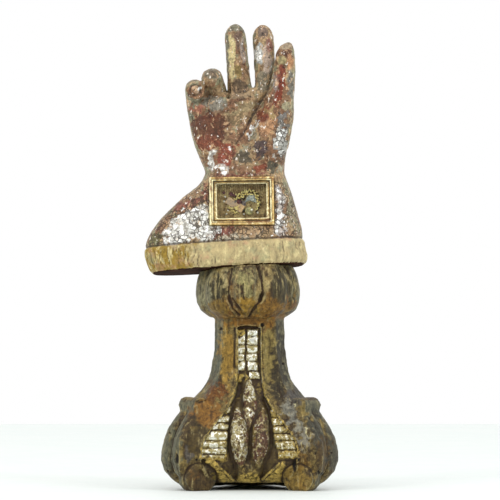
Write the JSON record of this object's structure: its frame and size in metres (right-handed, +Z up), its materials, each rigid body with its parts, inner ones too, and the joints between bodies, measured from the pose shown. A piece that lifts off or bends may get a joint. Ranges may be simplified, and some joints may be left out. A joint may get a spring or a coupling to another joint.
{
  "type": "reliquary hand",
  "caption": "Carved, silvered wooden hand raised in blessing, with a gilt relic window in its sleeve, on a three-sided scroll foot.",
  "frame": {"origin": "middle of the underside, on the surface the feet stand on", "axes": "+Z up towards the fingertips; the palm and the window face -Y"},
  "size_m": [0.194, 0.1576, 0.4637],
  "materials": {
    "silvered_wood": "worn silver leaf over red-brown ground, varnished",
    "stained_wood": "aged stain with traces of silver and gilding",
    "gilt_wood": "gilt, rubbed at the edges",
    "clear_glass": "clear",
    "mottled_cloth": "mottled, matt",
    "pale_paper": "matt",
    "blue_stone": "waxy",
    "resin_lump": "waxy",
    "gilt_wire": "gilt"
  },
  "bodies": {
    "root": {"stand": "stained_wood", "hand_and_sleeve": "silvered_wood", "window_frame": "gilt_wood", "window_glass": "clear_glass", "relic_bed": "mottled_cloth", "relic_strip": "pale_paper", "relic_stone": "blue_stone", "relic_lump": "resin_lump", "gold_wire_upper": "gilt_wire", "gold_wire_right": "gilt_wire"}
  },
  "joints": []
}
